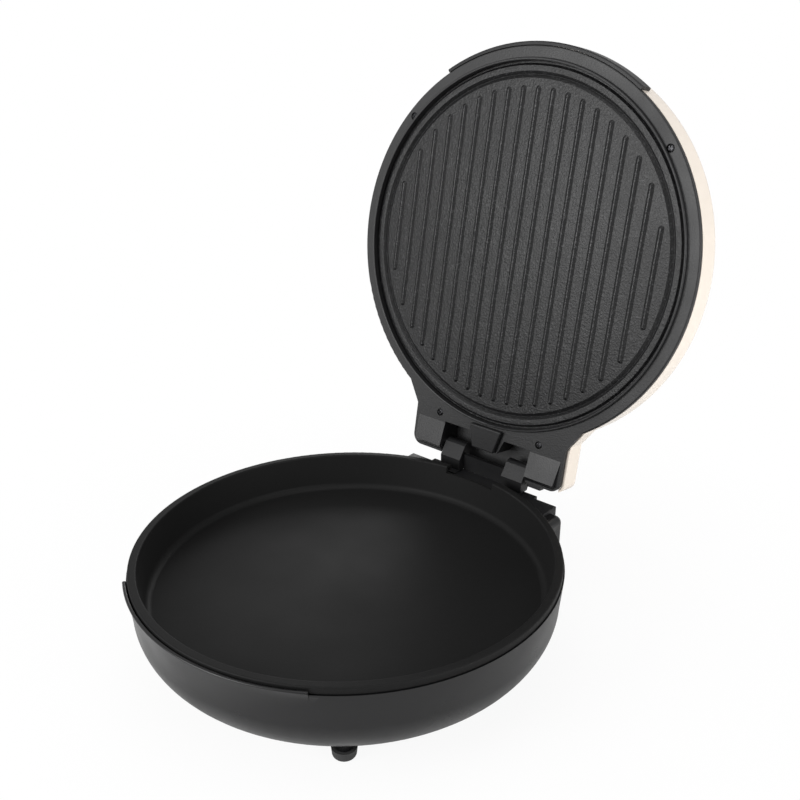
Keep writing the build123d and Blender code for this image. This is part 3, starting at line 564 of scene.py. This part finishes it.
# %% [markdown]
# ## Grill plate
#
# The plate is one aluminium casting. Nineteen ridges run from front to back, each a low bar
# with sloping flanks, a narrow rounded crest and round ends, and all end on one circle. A
# groove and a raised band run round the field. Boxes pushed into a disc would leave hard
# seams, so the disc is turned from its section and the ridges come from two short shapes
# with one common section: a bar that is only ever stretched along its length, and a half
# turn that closes each end.

# %% Section of a ridge
RIDGES = 19
END_STEPS = 12
RIDGE_REACH = 129.0
RIDGE_MARGIN = 6.15
FOOT_HALF = 2.4
CREST_HALF = 0.5
RIDGE_H = 1.6
FIELD_Z = 1.7

flank = eased([
    (FOOT_HALF + 0.3, FIELD_Z + 0.2, 0),
    (CREST_HALF, FIELD_Z - RIDGE_H, 1.2),
    (0, FIELD_Z - RIDGE_H, 0),
])
half_turn = held("ridge end", lathe("ridge end", flank, END_STEPS, pi))
bar_mesh = bpy.data.meshes.new("ridge bar")
section = flank[:-1] + [Vector((-p.x, p.y)) for p in reversed(flank[:-1])]
bar_mesh.from_pydata(
    [(p.x * MM, end, p.y * MM) for end in (-1, 1) for p in section], [],
    [(i, i + 1, i + 1 + len(section), i + len(section)) for i in range(len(section) - 1)])
ridge_bar = held("ridge bar", bar_mesh)
print("a ridge's section has", len(section), "points")

# %% Plate without its ridges
PLATE_STEPS = 240
plate_section = eased([
    (0, FIELD_Z, 0),
    (134.6, FIELD_Z, 0.5),
    (137.5, 3.8, 0.3),
    (139.7, 0.7, 0.5),
    (144.0, 0.7, 0.5),
    (145.7, 2.6, 0.5),
    (147.2, 2.6, 0.2),
    (147.2, 3.5, 0),
    (152.0, 3.5, 0),
    (152.0, 5.2, 0),
    (133.5, 5.2, 0),
    (133.5, 3.9, 0),
    (0, 3.9, 0),
])
plate_disc = held("plate disc", lathe("plate disc", plate_section, PLATE_STEPS))

# %% [markdown]
# The tree counts the ridges off from side to side. Each one's place across gives its half
# length by the rule of the circle. The bar is stretched to that, and the two ends sit at its
# tips, one of them turned round.

# %% Tree of the ridges
WELD = 0.01 * MM
tree, sizes = node_tree(
    "ridged plate", Count=int, Reach=float, Margin=float, Foot_Half=float,
    Bar=bpy.types.Object, End=bpy.types.Object, Disc=bpy.types.Object, Finish=bpy.types.Material)


def number(operation, *values):
    """One step of arithmetic on the tree being built."""
    return add(tree, "ShaderNodeMath", dict(enumerate(values)), operation=operation).outputs[0]


def lent(socket):
    """The mesh of an object that was handed in."""
    return add(tree, "GeometryNodeObjectInfo", {"Object": socket}).outputs["Geometry"]


gaps = number("SUBTRACT", sizes["Count"], 1.0)
pitch = number("DIVIDE", number("MULTIPLY", number("SUBTRACT", sizes["Reach"], sizes["Margin"]), 2.0), gaps)
index = add(tree, "GeometryNodeInputIndex").outputs[0]
across = number("MULTIPLY", number("SUBTRACT", index, number("DIVIDE", gaps, 2.0)), pitch)
squares = number("SUBTRACT", number("POWER", sizes["Reach"], 2.0), number("POWER", across, 2.0))
straight = number("SUBTRACT", number("SQRT", squares), sizes["Foot Half"])
middle = add(tree, "ShaderNodeCombineXYZ", {"X": across}).outputs[0]
points = add(tree, "GeometryNodePoints", {"Count": sizes["Count"], "Position": middle}).outputs[0]
stretch = add(tree, "ShaderNodeCombineXYZ", {"X": 1.0, "Y": straight, "Z": 1.0}).outputs[0]
bars = add(tree, "GeometryNodeInstanceOnPoints", {
    "Points": points, "Instance": lent(sizes["Bar"]), "Scale": stretch}).outputs[0]
joined = add(tree, "GeometryNodeJoinGeometry", {"Geometry": bars})
for sign, turn in ((1.0, 0.0), (-1.0, pi)):
    tip = add(tree, "ShaderNodeCombineXYZ", {"Y": number("MULTIPLY", straight, sign)}).outputs[0]
    tips = add(tree, "GeometryNodeSetPosition", {"Geometry": points, "Offset": tip}).outputs[0]
    ends = add(tree, "GeometryNodeInstanceOnPoints", {
        "Points": tips, "Instance": lent(sizes["End"]), "Rotation": (0, 0, turn)}).outputs[0]
    tree.links.new(ends, joined.inputs[0])
tree.links.new(lent(sizes["Disc"]), joined.inputs[0])
real = add(tree, "GeometryNodeRealizeInstances", {"Geometry": joined.outputs[0]}).outputs[0]
welded = add(tree, "GeometryNodeMergeByDistance", {"Geometry": real, "Distance": WELD}).outputs[0]
done = add(tree, "GeometryNodeSetMaterial", {"Geometry": welded, "Material": sizes["Finish"]}).outputs[0]
add(tree, "NodeGroupOutput", {"Geometry": done})

# %% Ridged plate
plate = grown(
    "grill_plate_cast", tree, Count=RIDGES, Reach=RIDGE_REACH * MM, Margin=RIDGE_MARGIN * MM,
    Foot_Half=FOOT_HALF * MM, Bar=ridge_bar, End=half_turn, Disc=plate_disc, Finish=plate_coat)
plate.data.transform(ON_LID)
smooth(plate.data, 35)
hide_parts("grill_plate")
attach(plate, "lid")

# %% [markdown]
# ## Bowl with its finger lip
#
# The bowl flares out into the lip at the front without any edge, so that the fingers slide up
# under it. The measured solid has a plain bar there. Everything else about it is right, so
# its mesh is copied and welded. Level cuts give its front more rows of points, and those are
# moved to a flare that runs out into the wall, softly in the middle of the arc and within a
# few millimetres at its two ends. Normals are weighted by area, which keeps flat parts flat.
# On the flare they come from its own curve, so that no triangle of the cuts can be seen.

# %% Bowl
WALL_TOP = (161.0, -5.5)
WALL_LOW = (158.9, -29.0)
WALL_SLOPE = (WALL_TOP[0] - WALL_LOW[0]) / (WALL_TOP[1] - WALL_LOW[1])
WALL_SKIN = 0.6
TOP_EDGE = (160.75, -5.6)
LIP_REACH = 2.2
LIP_TOP = -3.0
LIP_FOOT = -27.0
HALF_ARC = radians(34.5)
ARC_SLACK = 0.003
POWER_MIDDLE = 1.8
POWER_ENDS = 5
CUTS = 12
CUT_STEP = 2


def wall_at(below):
    """The bowl's outer radius in millimetres at that height from the rim."""
    return WALL_TOP[0] + WALL_SLOPE * (below - WALL_TOP[1])


def from_pan(place):
    """Radius and height in millimetres and the angle off the front, about the pan's axis."""
    off = (place - RIM) / MM
    return Vector((off.x, off.y)).length, off.z, abs(atan2(off.x, -off.y))


def flared(below, angle):
    """The flare's radius there, and how much it grows for each millimetre of height."""
    power = POWER_MIDDLE + POWER_ENDS * min(angle / HALF_ARC, 1) ** 4
    span = LIP_TOP - LIP_FOOT
    risen = max((below - LIP_FOOT) / span, 0)
    growth = WALL_SLOPE + LIP_REACH * power * risen ** (power - 1) / span
    return wall_at(below) + LIP_REACH * risen ** power, growth


def on_front(centre):
    """Whether the middle of a face lies on the outer wall at the lip."""
    radius, below, angle = from_pan(centre)
    in_reach = angle < HALF_ARC + 0.02 and LIP_FOOT - 4 < below < LIP_TOP
    return in_reach and radius > wall_at(below) - WALL_SKIN


shape = bmesh.new()
shape.from_mesh(nodes["lower_housing"].data)
bmesh.ops.remove_doubles(shape, verts=shape.verts, dist=WELD)
for step in range(1, CUTS + 1):
    front = [face for face in shape.faces if on_front(face.calc_center_median())]
    edges = {edge for face in front for edge in face.edges}
    ends = {point for face in front for point in face.verts}
    bmesh.ops.bisect_plane(
        shape, geom=front + list(edges) + list(ends), dist=0.001 * MM,
        plane_co=(0, 0, RIM.z + (LIP_TOP - CUT_STEP * step) * MM), plane_no=(0, 0, 1))
moved = 0
for point in shape.verts:
    radius, below, angle = from_pan(point.co)
    wall = wall_at(below)
    if angle > HALF_ARC - ARC_SLACK:
        skin = wall + 0.1
    else:
        skin = max(wall - WALL_SKIN, TOP_EDGE[0] if below > TOP_EDGE[1] else 0)
    if angle < HALF_ARC + ARC_SLACK and LIP_FOOT < below < LIP_TOP and radius > skin:
        reach = flared(below, angle)[0]
        point.co.x = RIM.x + (point.co.x - RIM.x) * reach / radius
        point.co.y = RIM.y + (point.co.y - RIM.y) * reach / radius
        moved += 1
bowl_mesh = bpy.data.meshes.new("bowl")
shape.to_mesh(bowl_mesh)
shape.free()
bowl_mesh.materials.append(bowl_abs)
smooth(bowl_mesh)
bowl = bpy.data.objects.new("bowl", bowl_mesh)
bpy.context.scene.collection.objects.link(bowl)
weighted = bowl.modifiers.new("weighted", "WEIGHTED_NORMAL")
weighted.keep_sharp = True
graph = bpy.context.evaluated_depsgraph_get()
normals = [Vector(corner.vector) for corner in bowl.evaluated_get(graph).data.corner_normals]
bowl.modifiers.remove(weighted)
for face in bowl_mesh.polygons:
    spoke = Vector((face.center.x - RIM.x, face.center.y - RIM.y, 0)).normalized()
    if on_front(face.center) and face.normal.dot(spoke) > 0.7:
        for corner in face.loop_indices:
            place = bowl_mesh.vertices[bowl_mesh.loops[corner].vertex_index].co
            radius, below, angle = from_pan(place)
            outwards = Vector((place.x - RIM.x, place.y - RIM.y, 0)).normalized()
            normals[corner] = (outwards - Vector((0, 0, flared(below, angle)[1]))).normalized()
bowl_mesh.normals_split_custom_set(normals)
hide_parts("lower_housing")
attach(bowl, "base")
print("bowl:", moved, "points of the lip moved,", len(bowl_mesh.polygons), "faces")

# %% [markdown]
# ## Lip of the hinge pocket and sill under the hinge web
#
# Between the two ears the ring has a pocket for the hinge, and its roof ends in a small lip
# that covers the cut edge of the cream shell. The web between the two hinge arms floats half a
# millimetre above its box, and a thin sill on the box's rear edge keeps the light out. Both
# are straight bars with eased edges, so a section is drawn, set at both ends and skinned.

# %% Two bars


def bar(name, outline, half, place, finish):
    """A straight bar with this section in millimetres, from one side to the other."""
    section = eased(outline)
    count = len(section)
    shape = bmesh.new()
    rings = [[shape.verts.new((end * MM, p.x * MM, p.y * MM)) for p in section]
             for end in (-half, half)]
    shape.faces.new(rings[0])
    shape.faces.new(list(reversed(rings[1])))
    for i in range(count):
        j = (i + 1) % count
        shape.faces.new((rings[1][i], rings[1][j], rings[0][j], rings[0][i]))
    bmesh.ops.recalc_face_normals(shape, faces=shape.faces)
    mesh = bpy.data.meshes.new(name)
    shape.to_mesh(mesh)
    shape.free()
    mesh.transform(place)
    mesh.materials.append(finish)
    smooth(mesh)
    made = bpy.data.objects.new(name, mesh)
    bpy.context.scene.collection.objects.link(made)
    print(name, "has", len(mesh.polygons), "faces")
    return made


pocket_lip = bar("pocket_lip", [
    (184.6, 20.2, 0),
    (187.0, 20.2, 0.2),
    (190.0, 20.2, 0.7),
    (190.0, 22.0, 0.5),
    (184.6, 22.0, 0),
], half=44, place=ON_LID, finish=ring_pbt)
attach(pocket_lip, "lid")

web_sill = bar("web_sill", [
    (173.1, -10.3, 0),
    (173.1, -9.75, 0.1),
    (174.0, -9.75, 0.3),
    (174.0, -10.3, 0),
], half=21.8, place=ON_BASE, finish=hinge_nylon)
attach(web_sill, "base")

# %% [markdown]
# ## Screws
#
# Four blackened screws hold the ring, and four plated ones the cover under the base. Each has
# a low domed head with a cross recess whose arms narrow towards the bottom, because the tool
# that presses it in is tapered. One screw is turned and its recess cut with a Boolean. A
# tree then sets any number of them along a circle.

# %% One screw
SCREW_STEPS = 48


def cross(top_half, bottom_half, reach, depth):
    """A tapered cross that cuts the recess, its top at zero."""
    shape = bmesh.new()
    rings = []
    for width, length, height in ((top_half, reach, 0.3), (bottom_half, 0.62 * reach, -depth)):
        ring = []
        for quarter in range(4):
            turn = Matrix.Rotation(quarter * pi / 2, 2)
            for x, y in ((length, -width), (length, width), (width, width)):
                flat = turn @ Vector((x, y))
                ring.append(shape.verts.new((flat.x * MM, flat.y * MM, height * MM)))
        rings.append(ring)
    shape.faces.new(rings[0])
    shape.faces.new(list(reversed(rings[1])))
    for i in range(12):
        j = (i + 1) % 12
        shape.faces.new((rings[0][i], rings[1][i], rings[1][j], rings[0][j]))
    bmesh.ops.recalc_face_normals(shape, faces=shape.faces)
    mesh = bpy.data.meshes.new("cross")
    shape.to_mesh(mesh)
    shape.free()
    return mesh


screw_section = eased([
    (0, -10.8, 0),
    (1.2, -10.8, 0),
    (1.5, -9.8, 0),
    (1.5, -1.8, 0.15),
    (3.0, -1.8, 0.2),
    (3.0, -0.9, 0.7),
    (1.9, 0, 0.8),
    (0, 0, 0),
])
blank = bpy.data.objects.new("screw blank", lathe("screw blank", screw_section, SCREW_STEPS))
tool = bpy.data.objects.new(
    "recess tool", cross(top_half=0.55, bottom_half=0.35, reach=2.2, depth=1.3))
for made in (blank, tool):
    bpy.context.scene.collection.objects.link(made)
cut = blank.modifiers.new("recess", "BOOLEAN")
cut.object = tool
cut.solver = "EXACT"
graph = bpy.context.evaluated_depsgraph_get()
screw_mesh = bpy.data.meshes.new_from_object(blank.evaluated_get(graph))
for made in (blank, tool):
    bpy.data.objects.remove(made)
one_screw = held("one screw", screw_mesh)
print("one screw has", len(screw_mesh.polygons), "faces")

# %% Tree that sets screws along a circle
TWIST = 0.9
tree, sizes = node_tree(
    "screws on a circle", Count=int, Radius=float, Start=float, Step=float,
    Screw=bpy.types.Object, Finish=bpy.types.Material)
index = add(tree, "GeometryNodeInputIndex").outputs[0]
turn = number("ADD", sizes["Start"], number("MULTIPLY", index, sizes["Step"]))
spot = add(tree, "ShaderNodeCombineXYZ", {
    "X": number("MULTIPLY", sizes["Radius"], number("COSINE", turn)),
    "Y": number("MULTIPLY", sizes["Radius"], number("SINE", turn))}).outputs[0]
points = add(tree, "GeometryNodePoints", {"Count": sizes["Count"], "Position": spot}).outputs[0]
twist = add(tree, "ShaderNodeCombineXYZ", {"Z": number("MULTIPLY", index, TWIST)}).outputs[0]
screws = add(tree, "GeometryNodeInstanceOnPoints", {
    "Points": points, "Instance": lent(sizes["Screw"]), "Rotation": twist}).outputs[0]
real = add(tree, "GeometryNodeRealizeInstances", {"Geometry": screws}).outputs[0]
done = add(tree, "GeometryNodeSetMaterial", {"Geometry": real, "Material": sizes["Finish"]}).outputs[0]
add(tree, "NodeGroupOutput", {"Geometry": done})

# %% [markdown]
# The ring's screws stand in pairs, two near the front and two by the ears. Their heads are
# flush with the ring's face, so the screws are set head up at zero and turned over. The
# cover's four stand on a circle about the pan's axis, and are turned over as well.

# %% Screws of the ring and of the cover
COVER_SCREWS_R = 84.0


def merged(name, objects):
    """One object from several, which are removed."""
    shape = bmesh.new()
    for made in objects:
        shape.from_mesh(made.data)
    mesh = bpy.data.meshes.new(name)
    shape.to_mesh(mesh)
    shape.free()
    mesh.materials.append(objects[0].data.materials[0])
    for made in objects:
        bpy.data.objects.remove(made)
    whole = bpy.data.objects.new(name, mesh)
    bpy.context.scene.collection.objects.link(whole)
    return whole


pairs = {"front pair": (119.3, 94.4), "rear pair": (51.4, -152.4)}
made = []
for name, (x, y) in pairs.items():
    lean = atan2(y, x)
    made.append(grown(
        name, tree, Count=2, Radius=Vector((x, y)).length * MM, Start=lean, Step=pi - 2 * lean,
        Screw=one_screw, Finish=black_steel))
ring_screws = merged("frame_screws_turned", made)
ring_screws.data.transform(ON_LID @ Matrix.Rotation(pi, 4, "X"))
smooth(ring_screws.data)
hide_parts("frame_screws")
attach(ring_screws, "lid")

cover_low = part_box("bottom_cover_screws")[0]
cover_screws = grown(
    "cover_screws_turned", tree, Count=4, Radius=COVER_SCREWS_R * MM, Start=pi / 4, Step=pi / 2,
    Screw=one_screw, Finish=zinc_steel)
cover_screws.data.transform(
    Matrix.Translation((RIM.x, RIM.y, cover_low.z)) @ Matrix.Rotation(pi, 4, "X"))
smooth(cover_screws.data)
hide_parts("bottom_cover_screws")
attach(cover_screws, "base")
